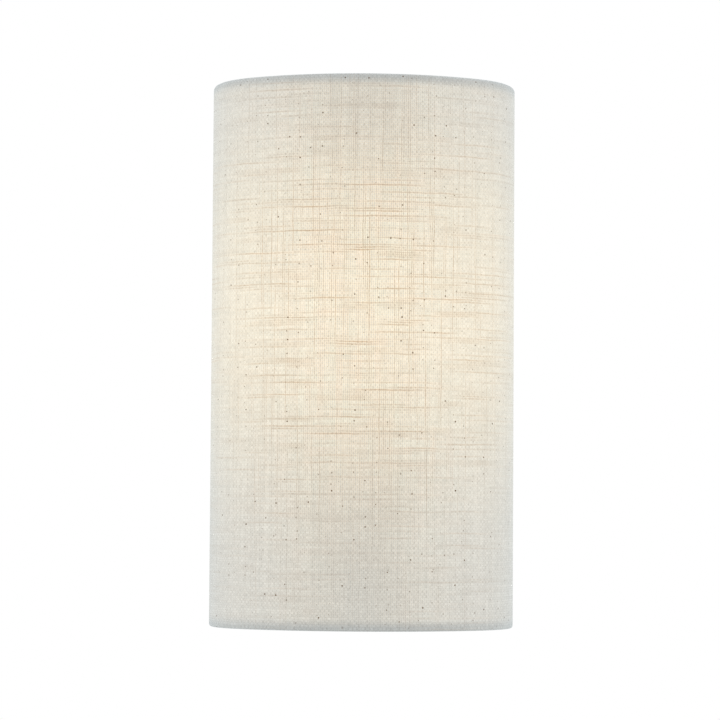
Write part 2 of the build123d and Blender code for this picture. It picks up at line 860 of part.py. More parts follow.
with BuildPart() as terminal_screws:
    screw_length = screw_tip_out - screw_head_out
    with Locations(*[
        Location((x, -screw_head_out, level), (-90, 0, 0))
        for x in pole_places
        for level in screw_levels
    ]):
        rod_down(terminal_screw_radius, screw_length)
        straight_slot(terminal_screw_radius, 0)
finish(terminal_screws.part, "terminal_screws")

with BuildPart() as block_screw:
    with Locations(Location((pole_pitch / 2, -block_back_out, block_middle), (-90, 0, 0))):
        rod_up(block_screw_head_radius, block_screw_head_height)
        rod_down(block_screw_radius, box_depth - block_back_out)
        straight_slot(block_screw_head_radius, block_screw_head_height)
finish(block_screw.part, "block_screw")

# ------------------------------------------------------------------ earth tag and its screw
tag_back_out = box_inside_out - tag_thickness
barrel_out = box_inside_out - tag_barrel_radius
barrel_bottom = earth_z + tag_tongue_length
with BuildPart() as earth_tag:
    with BuildSketch(Plane.XZ.offset(tag_back_out)):
        with Locations((earth_x, earth_z)):
            Circle(tag_ring_radius)
            Rectangle(tag_tongue_width, tag_tongue_length, align=(Align.CENTER, Align.MIN))
            Circle(box_screw_radius + fastener_clearance, mode=Mode.SUBTRACT)
    extrude(amount=tag_thickness)
    with Locations((earth_x, -barrel_out, barrel_bottom)):
        rod_up(tag_barrel_radius, tag_barrel_length)
finish(earth_tag.part, "earth_tag")

with BuildPart() as earth_screw:
    with Locations(Location((earth_x, -tag_back_out, earth_z), (-90, 0, 0))):
        domed_head(earth_screw_head_radius, earth_screw_head_height)
        rod_down(box_screw_radius, box_depth - tag_back_out)
        cross_recess(earth_screw_head_height)
finish(earth_screw.part, "earth_screw")

# ------------------------------------------------------------------ grommet and wires
with BuildPart() as wire_grommet:
    flange_front = box_depth + grommet_flange_thickness
    flange_back = box_inside_out - grommet_flange_thickness
    with BuildSketch(Plane.XY.offset(grommet_z)):
        with BuildLine():
            Polyline(
                (grommet_bore, -flange_back),
                (grommet_flange_radius, -flange_back),
                (grommet_flange_radius, -box_inside_out),
                (grommet_hub_radius, -box_inside_out),
                (grommet_hub_radius, -box_depth),
                (grommet_flange_radius, -box_depth),
                (grommet_flange_radius, -flange_front),
                (grommet_bore, -flange_front),
                close=True,
            )
        make_face()
    revolve(axis=Axis((0, 0, grommet_z), (0, -1, 0)))
finish(wire_grommet.part, "wire_grommet")

# Live and neutral run down the box, out through the grommet and up the threaded tube.
# A fixed wire keeps the places below: each is (x, out, z), with x for the right-hand wire.
wire_end = block_bottom + wire_entry
terminal_bottom = insert_bottom - terminal_size[2]
lamp_wire_route = (
    (pole_pitch, pole_out, wire_end),
    (pole_pitch, pole_out, 21.0),
    (3.6, 8.4, -8.0),
    (2.9, 7.2, -48.0),
    (wire_half_spread, 7.6, grommet_z),
    (wire_half_spread, lamp_out, grommet_z),
    (wire_half_spread, lamp_out, tube_top + 0.5),
    (terminal_spacing / 2, lamp_out, terminal_bottom - 3.4),
    (terminal_spacing / 2, lamp_out, terminal_bottom),
)
lamp_wire_radii = (30.0, 90.0, 120.0, 9.4, wire_bend_radius, 8.0, 8.0)
earth_wire_route = (
    (0.0, pole_out, wire_end),
    (0.0, pole_out, 26.0),
    (0.6, 15.6, 12.0),
    (earth_x, barrel_out, 11.5),
    (earth_x, barrel_out, barrel_bottom + tag_barrel_length),
)
earth_wire_radii = (30.0, 7.0, 7.4)

for side, name in ((-1, "live_wire"), (1, "neutral_wire")):
    with BuildPart() as lamp_wire:
        with BuildLine() as route:
            FilletPolyline(
                *[(side * x, -out, z) for x, out, z in lamp_wire_route], radius=lamp_wire_radii
            )
        sweep(round_section(route.line, wire_radius), path=route.line)
    finish(lamp_wire.part, name)

with BuildPart() as earth_wire:
    with BuildLine() as route:
        FilletPolyline(*[(x, -out, z) for x, out, z in earth_wire_route], radius=earth_wire_radii)
    sweep(round_section(route.line, wire_radius), path=route.line)
finish(earth_wire.part, "earth_wire")

print("live and neutral wire bend radii", lamp_wire_radii)
print("earth wire bend radii", earth_wire_radii)
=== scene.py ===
"""Looks of a bow-fronted linen wall light, in metres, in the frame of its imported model."""
from math import atan2, ceil, cos, pi, radians, sin

import bmesh
import bpy
from mathutils import Euler, Matrix, Vector


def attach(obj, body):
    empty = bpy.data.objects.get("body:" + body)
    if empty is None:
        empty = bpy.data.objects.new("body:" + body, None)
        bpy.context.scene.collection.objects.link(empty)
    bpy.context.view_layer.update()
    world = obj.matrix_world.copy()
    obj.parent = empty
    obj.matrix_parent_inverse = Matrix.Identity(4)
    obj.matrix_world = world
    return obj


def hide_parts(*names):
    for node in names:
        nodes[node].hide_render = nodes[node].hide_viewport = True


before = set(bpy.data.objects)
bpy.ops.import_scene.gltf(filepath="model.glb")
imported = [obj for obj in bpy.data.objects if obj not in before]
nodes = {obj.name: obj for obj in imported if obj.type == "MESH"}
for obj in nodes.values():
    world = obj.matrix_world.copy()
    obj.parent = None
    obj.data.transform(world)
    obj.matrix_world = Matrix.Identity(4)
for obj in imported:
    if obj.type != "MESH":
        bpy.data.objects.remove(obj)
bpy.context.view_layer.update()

MM = 0.001

# ------------------------------------------------------------------ sizes, in mm, as the model has them
HALF_WIDTH = 84.0
CORNER_X = 38.0  # middle of each corner arc, from the centre line
BOW_START = 33.0  # distance out from the wall at which the side starts to bend
CORNER_RADIUS = 46.0
CORNER_SWEEP = 57.71  # degrees of each corner arc
FRONT_RADIUS = 117.14
FRONT_CENTRE_OUT = -27.14
ROLL_RADIUS = 2.6  # cloth rolled round each rim wire
ROLL_Z = 147.4
UPRIGHT_X = 81.4
UPRIGHT_OUT = 5.6
LAMP_OUT = 50.0
GLOBE_Z = 15.14
GLOBE_RADIUS = 22.5

# ------------------------------------------------------------------ the cloth's mesh, its lengths in mm
COLUMN_STEP = 2.0  # along the bow
ROW_STEP = 3.0  # up the shade
ROLL_TURN = 18  # degrees between rows of a roll, and between columns of a hem
QUARTER = 5  # rows or columns in a quarter turn
ROLL_ROWS = 18  # rows of each roll, from its hidden edge to the flat cloth
HALF_HEM = 10  # columns half way round an upright, over the shade's full height
HEM_END = 13  # columns to the hem's edge, the last of them between the rolls only
FOOT_PRESS = 0.55  # 1 is a round roll, less is squarer
CLOTH_THICKNESS = 0.5
WELD = 0.02  # points nearer than this become one

# ------------------------------------------------------------------ the cloth's looks, their lengths in mm
WARP_PITCH = 1.14  # between upright threads, 2.13 pixels in the photograph
WEFT_PITCH = 1.30  # between level threads, 2.44 pixels
HUSK_PITCH = 6.2  # between specks of husk
GLOW_Z = 25.0  # height at which the lamp lights the cloth most
GLOW_REACH = 71.0  # distance up and down from there in which the light falls by a quarter
GLOW_LEAST = 0.335  # share of the light far from the lamp

# ------------------------------------------------------------------ settings that many nodes share
ADD = {"operation": "ADD"}
SUBTRACT = {"operation": "SUBTRACT"}
MULTIPLY = {"operation": "MULTIPLY"}
DIVIDE = {"operation": "DIVIDE"}
MULTIPLY_ADD = {"operation": "MULTIPLY_ADD"}
POWER = {"operation": "POWER"}
MAXIMUM = {"operation": "MAXIMUM"}
ABSOLUTE = {"operation": "ABSOLUTE"}
COLOURS = {"data_type": "RGBA"}
SMOOTH = {"interpolation_type": "SMOOTHSTEP"}
FLAT_NOISE = {"noise_dimensions": "2D"}


# ------------------------------------------------------------------ camera and light
def place_camera():
    """Camera a little below the shade's middle, tilted up to it, as in the photograph."""
    focal_pixels = 2748.6
    image_pixels = 720
    sensor = 36
    tilt_up, turn_left, roll = 0.0502, 0.0048, 0.0065
    data = bpy.data.cameras.new("camera")
    data.sensor_width = sensor
    data.lens = focal_pixels / image_pixels * sensor
    camera = bpy.data.objects.new("camera", data)
    bpy.context.scene.collection.objects.link(camera)
    aim = Euler((radians(90) + tilt_up, 0, turn_left)).to_matrix().to_4x4()
    place = Matrix.Translation((5.95 * MM, -1560 * MM, -78.8 * MM))
    camera.matrix_world = place @ aim @ Matrix.Rotation(roll, 4, "Z")
    bpy.context.scene.camera = camera


def add_node(tree, kind, settings=None, inputs=None):
    """Add a node. Each input is a plain value, a node's socket, or a node for its first output."""
    node = tree.nodes.new("ShaderNode" + kind)
    for name, value in (settings or {}).items():
        setattr(node, name, value)
    for name, value in (inputs or {}).items():
        live = [socket for socket in node.inputs if socket.enabled]
        if isinstance(name, int):
            socket = live[name]
        else:
            socket = next(entry for entry in live if entry.name == name)
        if isinstance(value, bpy.types.Node):
            value = next(entry for entry in value.outputs if entry.enabled)
        if isinstance(value, bpy.types.NodeSocket):
            tree.links.new(value, socket)
        else:
            socket.default_value = value
    return node


def seen_directly(tree):
    """1 for rays from the camera, and for those that reflections and clear materials send."""
    path = add_node(tree, "LightPath")
    seen = add_node(
        tree, "Math", MAXIMUM, {0: path.outputs["Is Camera Ray"], 1: path.outputs["Is Glossy Ray"]}
    )
    return add_node(tree, "Math", MAXIMUM, {0: seen, 1: path.outputs["Is Transmission Ray"]})


def hang_light(name, kind, power, place):
    """Light that the camera doesn't see."""
    data = bpy.data.lights.new(name, kind)
    data.energy = power
    light = bpy.data.objects.new(name, data)
    light.location = place
    light.visible_camera = False
    bpy.context.scene.collection.objects.link(light)
    return light


def light_scene():
    """White surroundings that light the object evenly, three soft lamps round it, and its own globe."""
    world = bpy.data.worlds.new("studio")
    world.use_nodes = True
    tree = world.node_tree
    tree.nodes.clear()
    soft = add_node(tree, "Background", None, {"Color": (1, 1, 1, 1), "Strength": 0.93})
    white = add_node(tree, "Background", None, {"Color": (1, 1, 1, 1), "Strength": 1.0})
    chosen = add_node(tree, "MixShader", None, {0: seen_directly(tree), 1: soft, 2: white})
    add_node(tree, "OutputWorld", None, {"Surface": chosen})
    bpy.context.scene.world = world
    softboxes = (
        ("softbox on the left", 15, (-2.5, -1.9, 1.0)),
        ("softbox on the right", 13, (2.6, -1.8, 0.6)),
        ("softbox behind", 10, (0.9, 2.7, 1.4)),
    )
    for name, power, place in softboxes:
        softbox = hang_light(name, "AREA", power, place)
        softbox.data.size = 1.8
        softbox.rotation_euler = (-Vector(place)).to_track_quat("-Z", "Y").to_euler()
    globe_middle = (0, -LAMP_OUT * MM, GLOBE_Z * MM)
    glow = hang_light("light of the lamp globe", "POINT", 0.22, globe_middle)
    glow.data.color = (1.0, 0.80, 0.56)
    glow.data.shadow_soft_size = (GLOBE_RADIUS + 1) * MM
    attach(glow, "lamp")


def linear(code):
    """sRGB hex code to a linear colour."""
    values = [int(code[place:place + 2], 16) / 255 for place in (1, 3, 5)]
    return (*[v / 12.92 if v <= 0.04045 else ((v + 0.055) / 1.055) ** 2.4 for v in values], 1.0)


def lay_floor():
    """Plain pale floor as far below the light as it hangs in a room, which keeps its shadow."""
    drop, side = 1.9, 7  # metres
    bpy.ops.object.select_all(action="DESELECT")
    bpy.ops.mesh.primitive_plane_add(size=side, location=(0, 0, -drop))
    floor = bpy.context.object
    floor.name = "floor"
    material = bpy.data.materials.new("pale matt floor")
    material.use_nodes = True
    tree = material.node_tree
    tree.nodes.clear()
    paint = add_node(tree, "BsdfDiffuse", None, {"Color": linear("#EDEDEB")})
    lift = add_node(tree, "Math", MULTIPLY, {0: seen_directly(tree), 1: 0.22})
    glow = add_node(tree, "Emission", None, {"Color": (1, 1, 1, 1), "Strength": lift})
    both = add_node(tree, "AddShader", None, {0: paint, 1: glow})
    add_node(tree, "OutputMaterial", None, {"Surface": both})
    floor.data.materials.append(material)


# ------------------------------------------------------------------ cloth of the shade
def bow_columns():
    """Points (x, out, length) along the outside of the shade, and the way outwards at each."""
    columns = []
    straight = BOW_START - UPRIGHT_OUT
    count = ceil(straight / COLUMN_STEP)
    for n in range(count):
        passed = straight * n / count
        columns.append((-HALF_WIDTH, UPRIGHT_OUT + passed, passed, -1.0, 0.0))
    length = straight
    arc = CORNER_RADIUS * radians(CORNER_SWEEP)
    count = ceil(arc / COLUMN_STEP)
    for n in range(count):
        turn = radians(CORNER_SWEEP) * n / count
        x = -CORNER_X - CORNER_RADIUS * cos(turn)
        out = BOW_START + CORNER_RADIUS * sin(turn)
        columns.append((x, out, length + arc * n / count, -cos(turn), sin(turn)))
    length += arc
    half_angle = radians(90 - CORNER_SWEEP)
    arc = FRONT_RADIUS * half_angle
    count = ceil(arc / COLUMN_STEP)
    for n in range(count + 1):
        turn = -half_angle * (1 - n / count)
        x = FRONT_RADIUS * sin(turn)
        out = FRONT_CENTRE_OUT + FRONT_RADIUS * cos(turn)
        columns.append((x, out, length + arc * n / count, sin(turn), cos(turn)))
    length += arc
    mirrored = [
        (-x, out, 2 * length - along, -way_x, way_out) for x, out, along, way_x, way_out in columns[:-1]
    ]
    return columns + mirrored[::-1]


def press_turn(turn, press):
    """Cosine and sine of a turn round a roll, which a press under 1 makes squarer."""
    inward, upward = cos(turn), sin(turn)
    return (
        abs(inward) ** press * (1 if inward > 0 else -1),
        abs(upward) ** press * (1 if upward > 0 else -1),
    )


def roll_row(n, end, press):
    """Row of the top roll, end 1, or the bottom one, end -1: how far in, height, length along the cloth."""
    turn = radians(ROLL_TURN * n)
    inward, upward = press_turn(turn, press)
    inset = ROLL_RADIUS * (1 - inward)
    return inset, end * (ROLL_Z + ROLL_RADIUS * upward), end * (ROLL_Z + ROLL_RADIUS * turn)


def cloth_rows():
    """Rows from the hidden edge of the top roll to that of the bottom one, pressed squarer outside."""
    rows = [roll_row(n, 1, 1.0) for n in range(ROLL_ROWS - 1, -1, -1)]
    steps = ceil(2 * ROLL_Z / ROW_STEP)
    for n in range(1, steps):
        height = ROLL_Z * (1 - 2 * n / steps)
        rows.append((0.0, height, height))
    rows += [roll_row(n, -1, FOOT_PRESS if n < QUARTER else 1.0) for n in range(ROLL_ROWS)]
    return rows


def cap_row(n, end, press):
    """Row of a hem's rounded end: height, length along the cloth, and how wide the hem is there."""
    height, across = roll_row(n, end, press)[1:]
    width = press_turn(radians(ROLL_TURN * n), press)[0]
    return height, across, 0.0 if n == QUARTER else width


def add_grid(mesh_code, uv_layer, grid):
    """Faces between neighbouring points of a grid; each point is a place and its place in the cloth."""
    made = [[(mesh_code.verts.new(place), spot) for place, spot in line] for line in grid]
    for first, second in zip(made, made[1:]):
        for low, high in zip(range(len(first) - 1), range(1, len(first))):
            corners = (first[low], second[low], second[high], first[high])
            face = mesh_code.faces.new([corner[0] for corner in corners])
            for loop, corner in zip(face.loops, corners):
                loop[uv_layer].uv = corner[1]


def bow_grid(columns, rows):
    """The sheet along the bow, with both of its rolls."""
    grid = []
    for x, out, along, way_x, way_out in columns:
        line = []
        for inset, height, across in rows:
            place = Vector((x - way_x * inset, -(out - way_out * inset), height)) * MM
            line.append((place, (along * MM, across * MM)))
        grid.append(line)
    return grid


def hem_grid(side, edge, profile, columns):
    """Part of the hem round the upright of one side, from the sheet's edge inwards."""
    grid = []
    for n in columns:
        turn = radians(ROLL_TURN * n)
        along = edge + side * ROLL_RADIUS * turn
        line = []
        for height, across, width in profile:
            reach = ROLL_RADIUS * width
            x = side * (UPRIGHT_X + reach * cos(turn))
            out = UPRIGHT_OUT - reach * sin(turn)
            line.append((Vector((x, -out, height)) * MM, (along * MM, across * MM)))
        grid.append(line)
    return grid if side > 0 else grid[::-1]


def weave_cover():
    """Linen cover: one sheet along the bow, rolled round the rim wires and hemmed round the uprights."""
    mesh_code = bmesh.new()
    uv_layer = mesh_code.loops.layers.uv.new("cloth")
    columns = bow_columns()
    rows = cloth_rows()
    add_grid(mesh_code, uv_layer, bow_grid(columns, rows))

    flat = [(height, across, 1.0) for inset, height, across in rows[ROLL_ROWS - 1:1 - ROLL_ROWS]]
    head = [cap_row(n, 1, 1.0) for n in range(QUARTER, 0, -1)]
    foot = [cap_row(n, -1, FOOT_PRESS if n < QUARTER else 1.0) for n in range(1, QUARTER + 1)]
    inner = [row for row in flat if abs(row[0]) < ROLL_Z - ROLL_RADIUS]
    for side, edge in ((-1, columns[0][2]), (1, columns[-1][2])):
        round_upright = hem_grid(side, edge, head + flat + foot, range(HALF_HEM + 1))
        inside = hem_grid(side, edge, inner, range(HALF_HEM, HEM_END + 1))
        add_grid(mesh_code, uv_layer, round_upright)
        add_grid(mesh_code, uv_layer, inside)
    bmesh.ops.remove_doubles(mesh_code, verts=mesh_code.verts, dist=WELD * MM)
    bmesh.ops.recalc_face_normals(mesh_code, faces=mesh_code.faces)
    front = min(mesh_code.faces, key=lambda face: face.calc_center_median().y)
    if front.normal.y > 0:
        bmesh.ops.reverse_faces(mesh_code, faces=mesh_code.faces)
    mesh = bpy.data.meshes.new("linen cover")
    mesh_code.to_mesh(mesh)
    mesh_code.free()

    cover = bpy.data.objects.new("linen_cover", mesh)
    bpy.context.scene.collection.objects.link(cover)
    bpy.ops.object.select_all(action="DESELECT")
    bpy.context.view_layer.objects.active = cover
    cover.select_set(True)
    thickness = cover.modifiers.new("thickness", "SOLIDIFY")
    thickness.thickness = CLOTH_THICKNESS * MM
    thickness.offset = -1
    bpy.ops.object.modifier_apply(modifier="thickness")
    bpy.ops.object.shade_smooth()
    cover.data.materials.append(slub_linen())
    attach(cover, "shade")
    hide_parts("fabric_cover")


# ------------------------------------------------------------------ light of the lamp on the shade
def lamp_glow(tree, height):
    """How strongly the lamp inside lights a place: 1 just above its globe, less higher and lower."""
    offset = add_node(tree, "Math", SUBTRACT, {0: height, 1: GLOW_Z * MM})
    share = add_node(tree, "Math", DIVIDE, {0: offset, 1: GLOW_REACH * MM})
    square = add_node(tree, "Math", MULTIPLY, {0: share, 1: share})
    halved = add_node(tree, "Math", MULTIPLY, {0: square, 1: -0.5})
    falling = add_node(tree, "Math", {"operation": "EXPONENT"}, {0: halved})
    return add_node(tree, "MapRange", None, {"Value": falling, "To Min": GLOW_LEAST, "To Max": 1.0})


def holder_shadow(tree, height, from_middle):
    """Soft shadow on the cloth's middle, of the lampholder below the globe and the globe's top above."""
    middle = add_node(
        tree, "MapRange", SMOOTH,
        {"Value": from_middle, "From Min": 0.0, "From Max": 46 * MM, "To Min": 1.0, "To Max": 0.0},
    )
    below = add_node(
        tree, "MapRange", SMOOTH,
        {"Value": height, "From Min": -20 * MM, "From Max": -140 * MM, "To Min": 0.0, "To Max": 0.50},
    )
    above = add_node(
        tree, "MapRange", SMOOTH,
        {"Value": height, "From Min": 70 * MM, "From Max": 130 * MM, "To Min": 0.0, "To Max": 0.35},
    )
    either = add_node(tree, "Math", MAXIMUM, {0: below, 1: above})
    return add_node(tree, "Math", MULTIPLY, {0: middle, 1: either})


def light_colour(tree, glow, shadow, from_middle, patches, lines):
    """Colour of the lamp's light through the cloth: pale or peach by patches, rust behind fat threads."""
    pale, peach = (0.358, 0.268, 0.096, 1), (0.403, 0.235, 0.054, 1)
    amber, white = (0.40, 0.220, 0.0, 1), (0.355, 0.268, 0.150, 1)
    side, far_side = (0.350, 0.268, 0.142, 1), (0.360, 0.285, 0.20, 1)
    rust = (0.174, 0.090, 0.007, 1)
    through = add_node(tree, "Mix", COLOURS, {"Factor": patches, "A": pale, "B": peach})
    amber_share = add_node(
        tree, "Math", {"operation": "MULTIPLY", "use_clamp": True}, {0: shadow, 1: 2.4}
    )
    shaded = add_node(tree, "Mix", COLOURS, {"Factor": amber_share, "A": through, "B": amber})
    near_lamp = add_node(tree, "MapRange", None, {"Value": glow, "From Min": 0.6, "To Max": 0.35})
    whiter = add_node(tree, "Mix", COLOURS, {"Factor": near_lamp, "A": shaded, "B": white})
    # cooler towards the sides, most of all far above and below the lamp
    far_share = add_node(tree, "MapRange", None, {"Value": glow, "From Min": 0.80, "From Max": 0.35})
    side_light = add_node(tree, "Mix", COLOURS, {"Factor": far_share, "A": side, "B": far_side})
    sideways = add_node(
        tree, "MapRange", SMOOTH,
        {"Value": from_middle, "From Min": 6 * MM, "From Max": 64 * MM, "To Max": 0.85},
    )
    cooler = add_node(tree, "Mix", COLOURS, {"Factor": sideways, "A": whiter, "B": side_light})
    line_share = add_node(tree, "Math", MULTIPLY, {0: lines, 1: 0.92})
    return add_node(tree, "Mix", COLOURS, {"Factor": line_share, "A": cooler, "B": rust})


# ------------------------------------------------------------------ linen
def thread_wave(tree, length, pitch):
    """Wave that is at its height on the middle of a thread, over and under by turns."""
    turn = add_node(tree, "Math", MULTIPLY, {0: length, 1: pi / pitch})
    return add_node(tree, "Math", {"operation": "SINE"}, {0: turn})


def thread_number(tree, length, width):
    """Whole number of the thread, or group of threads, at a place."""
    count = add_node(tree, "Math", DIVIDE, {0: length, 1: width})
    return add_node(tree, "Math", {"operation": "FLOOR"}, {0: count})


def thread_noise(tree, length, number, reach, shift):
    """Noise that runs along each thread for about reach mm, and differs from thread to thread."""
    run = add_node(tree, "Math", DIVIDE, {0: length, 1: reach})
    lane = add_node(tree, "Math", MULTIPLY_ADD, {0: number, 1: 7.31, 2: shift})
    spot = add_node(tree, "CombineXYZ", None, {"X": run, "Y": lane})
    noise = add_node(tree, "TexNoise", FLAT_NOISE, {"Vector": spot, "Scale": 1.0, "Detail": 2.0})
    return noise.outputs[0]


def fat_threads(tree, length, number, profile, reach, shift, low, high):
    """Where a thread is fat, from 0 to 1: the noise along it is high, and it is its middle."""
    noise = thread_noise(tree, length, number, reach, shift)
    fat = add_node(tree, "MapRange", None, {"Value": noise, "From Min": low, "From Max": high})
    return add_node(tree, "Math", MULTIPLY, {0: fat, 1: profile})


def husk_specks(tree, cloth):
    """Bits of husk, from 0 to 1: a speck in many of the cells, each of its own size and depth."""
    specks = add_node(
        tree, "TexVoronoi", {"voronoi_dimensions": "2D"},
        {"Vector": cloth, "Scale": 1 / HUSK_PITCH, "Randomness": 1.0},
    )
    chance = add_node(tree, "SeparateXYZ", None, {"Vector": specks.outputs["Color"]})
    rare = add_node(tree, "Math", POWER, {0: chance.outputs["X"], 1: 2.0})
    radius = add_node(
        tree, "MapRange", None,
        {"Value": rare, "From Min": 0.12, "From Max": 1.0, "To Min": 0.02, "To Max": 0.080},
    )
    speck = add_node(
        tree, "Math", {"operation": "LESS_THAN"}, {0: specks.outputs["Distance"], 1: radius}
    )
    depth = add_node(
        tree, "MapRange", None, {"Value": chance.outputs["Y"], "To Min": 0.25, "To Max": 0.95}
    )
    return add_node(tree, "Math", MULTIPLY, {0: speck, 1: depth})


def light_between(tree, warp, weft, height, from_middle):
    """More light between threads than through them; turned away, they are too fine to tell apart."""
    warp_depth = add_node(
        tree, "MapRange", SMOOTH,
        {"Value": from_middle, "From Min": 18 * MM, "From Max": 60 * MM, "To Min": -0.48, "To Max": -0.08},
    )
    weft_facing = add_node(
        tree, "MapRange", SMOOTH,
        {"Value": from_middle, "From Min": 18 * MM, "From Max": 60 * MM, "To Min": 1.0, "To Max": 0.55},
    )
    weft_by_height = add_node(
        tree, "MapRange", None,
        {"Value": height, "From Min": -140 * MM, "From Max": 140 * MM, "To Min": -0.10, "To Max": -0.42},
    )
    weft_depth = add_node(tree, "Math", MULTIPLY, {0: weft_by_height, 1: weft_facing})
    warp_middle = add_node(tree, "Math", SUBTRACT, {0: warp, 1: 0.5})
    weft_middle = add_node(tree, "Math", SUBTRACT, {0: weft, 1: 0.5})
    between_warp = add_node(tree, "Math", MULTIPLY_ADD, {0: warp_middle, 1: warp_depth, 2: 1.02})
    return add_node(tree, "Math", MULTIPLY_ADD, {0: weft_middle, 1: weft_depth, 2: between_warp})


def slub_linen():
    """Natural slub linen, loosely woven and unbleached, with the lamp's light from behind painted on as a
    glow.

    Its threads show as fine ribs, fatter ones as long thin rust-brown lines both ways, and bits of
    husk as brown specks. The gaps between threads let more of the light through.
    """
    material, tree, shader = new_finish(
        "natural slub linen", roughness=0.92, sheen_weight=0.55, sheen_roughness=0.6,
        sheen_tint=(0.82, 0.93, 1.0, 1.0), specular_ior_level=0.15
    )

    # place on the flat cloth in mm, where threads wander over 18 mm and waver a little over 3 mm
    uv = add_node(tree, "UVMap", {"uv_map": "cloth"})
    cloth = add_node(tree, "Mapping", None, {"Vector": uv, "Scale": (1000, 1000, 1)})
    wander = add_node(tree, "TexNoise", FLAT_NOISE, {"Vector": cloth, "Scale": 1 / 18, "Detail": 1.5})
    wandering = add_node(
        tree, "VectorMath", MULTIPLY_ADD, {0: wander.outputs["Color"], 1: (1.1, 1.1, 0), 2: cloth}
    )
    waver = add_node(tree, "TexNoise", FLAT_NOISE, {"Vector": cloth, "Scale": 1 / 3, "Detail": 1.0})
    wavering = add_node(
        tree, "VectorMath", MULTIPLY_ADD, {0: waver.outputs["Color"], 1: (0.4, 0.4, 0), 2: wandering}
    )
    split = add_node(tree, "SeparateXYZ", None, {"Vector": wavering})
    along, across = split.outputs["X"], split.outputs["Y"]

    # place on the shade: its height, and how far it is from the middle, the wall and half height
    place = add_node(tree, "SeparateXYZ", None, {"Vector": add_node(tree, "TexCoord").outputs["Object"]})
    height = place.outputs["Z"]
    from_middle = add_node(tree, "Math", ABSOLUTE, {0: place.outputs["X"]})
    from_wall = add_node(tree, "Math", ABSOLUTE, {0: place.outputs["Y"]})
    up_or_down = add_node(tree, "Math", ABSOLUTE, {0: height})

    warp_wave = thread_wave(tree, along, WARP_PITCH)
    weft_wave = thread_wave(tree, across, WEFT_PITCH)
    warp = add_node(tree, "Math", MULTIPLY, {0: warp_wave, 1: warp_wave})
    weft = add_node(tree, "Math", MULTIPLY, {0: weft_wave, 1: weft_wave})
    over_under = add_node(tree, "Math", MULTIPLY, {0: warp_wave, 1: weft_wave})
    crossing = add_node(tree, "Math", MAXIMUM, {0: warp, 1: weft})
    warp_number = thread_number(tree, along, WARP_PITCH)
    weft_number = thread_number(tree, across, WEFT_PITCH)

    # fat threads show as lines, thinner up and down than along, some two threads thick, faint at the sides
    thin_weft = add_node(tree, "Math", POWER, {0: weft, 1: 1.4})
    thin_warp = add_node(tree, "Math", POWER, {0: warp, 1: 2.4})
    pair_number = thread_number(tree, across, 2.2 * WEFT_PITCH)
    fat_weft = fat_threads(tree, along, weft_number, thin_weft, 60, 11.9, 0.51, 0.75)
    fat_warp = fat_threads(tree, across, warp_number, thin_warp, 95, 157.7, 0.48, 0.80)
    fat_pair = fat_threads(tree, along, pair_number, crossing, 44, 83.1, 0.57, 0.82)
    warp_share = add_node(tree, "Math", MULTIPLY, {0: fat_warp, 1: 0.90})
    pair_share = add_node(tree, "Math", MULTIPLY, {0: fat_pair, 1: 0.60})
    either = add_node(tree, "Math", MAXIMUM, {0: fat_weft, 1: warp_share})
    every = add_node(tree, "Math", MAXIMUM, {0: either, 1: pair_share})
    fading = add_node(
        tree, "MapRange", SMOOTH,
        {"Value": from_middle, "From Min": 30 * MM, "From Max": 80 * MM, "To Min": 1.0, "To Max": 0.50},
    )
    lines = add_node(tree, "Math", MULTIPLY, {0: every, 1: fading})

    # the weave's own relief, with fat threads standing proud
    ply = add_node(tree, "Math", MULTIPLY_ADD, {0: over_under, 1: 0.35, 2: crossing})
    relief = add_node(tree, "Math", MULTIPLY_ADD, {0: lines, 1: 0.5, 2: ply})
    bump = add_node(tree, "Bump", None, {"Strength": 0.6, "Distance": 0.2 * MM, "Height": relief})
    tree.links.new(bump.outputs[0], shader.inputs["Normal"])

    # threads a little lighter and darker than their neighbours, and each crossing higher or lower
    weft_tone = thread_noise(tree, along, weft_number, 70, 3.7)
    warp_tone = thread_noise(tree, across, warp_number, 160, 41.3)
    tones = add_node(tree, "Math", ADD, {0: weft_tone, 1: warp_tone})
    thread_tone = add_node(
        tree, "MapRange", None,
        {"Value": tones, "From Min": 0.6, "From Max": 1.4, "To Min": 0.94, "To Max": 1.05},
    )
    cell = add_node(tree, "CombineXYZ", None, {"X": warp_number, "Y": weft_number})
    cell_chance = add_node(tree, "TexWhiteNoise", FLAT_NOISE, {"Vector": cell})
    speckle = add_node(tree, "MapRange", None, {"Value": cell_chance, "To Min": 0.94, "To Max": 1.06})
    uneven = add_node(tree, "Math", MULTIPLY, {0: thread_tone, 1: speckle})
    warp_ribs = add_node(tree, "Math", MULTIPLY_ADD, {0: warp, 1: -0.05, 2: 0.915})
    ribs = add_node(tree, "Math", MULTIPLY_ADD, {0: weft, 1: 0.06, 2: warp_ribs})
    dots = add_node(tree, "Math", MULTIPLY_ADD, {0: over_under, 1: 0.07, 2: ribs})
    woven = add_node(tree, "Math", MULTIPLY, {0: uneven, 1: dots})

    # painted shade: the rolled rims are made darker in colour, as they turn away from the light, most of
    # all in the middle of the front
    rolled = add_node(
        tree, "MapRange", SMOOTH,
        {"Value": up_or_down, "From Min": 143.5 * MM, "From Max": 147.5 * MM, "To Min": 0.0, "To Max": 1.0},
    )
    rim_shade_depth = add_node(
        tree, "MapRange", SMOOTH,
        {"Value": from_middle, "From Min": 20 * MM, "From Max": 75 * MM, "To Min": -0.15, "To Max": -0.04},
    )
    roll_shade = add_node(tree, "Math", MULTIPLY_ADD, {0: rolled, 1: rim_shade_depth, 2: 1.0})
    # weave tone times the painted shade of the rims
    shade = add_node(tree, "Math", MULTIPLY, {0: woven, 1: roll_shade})
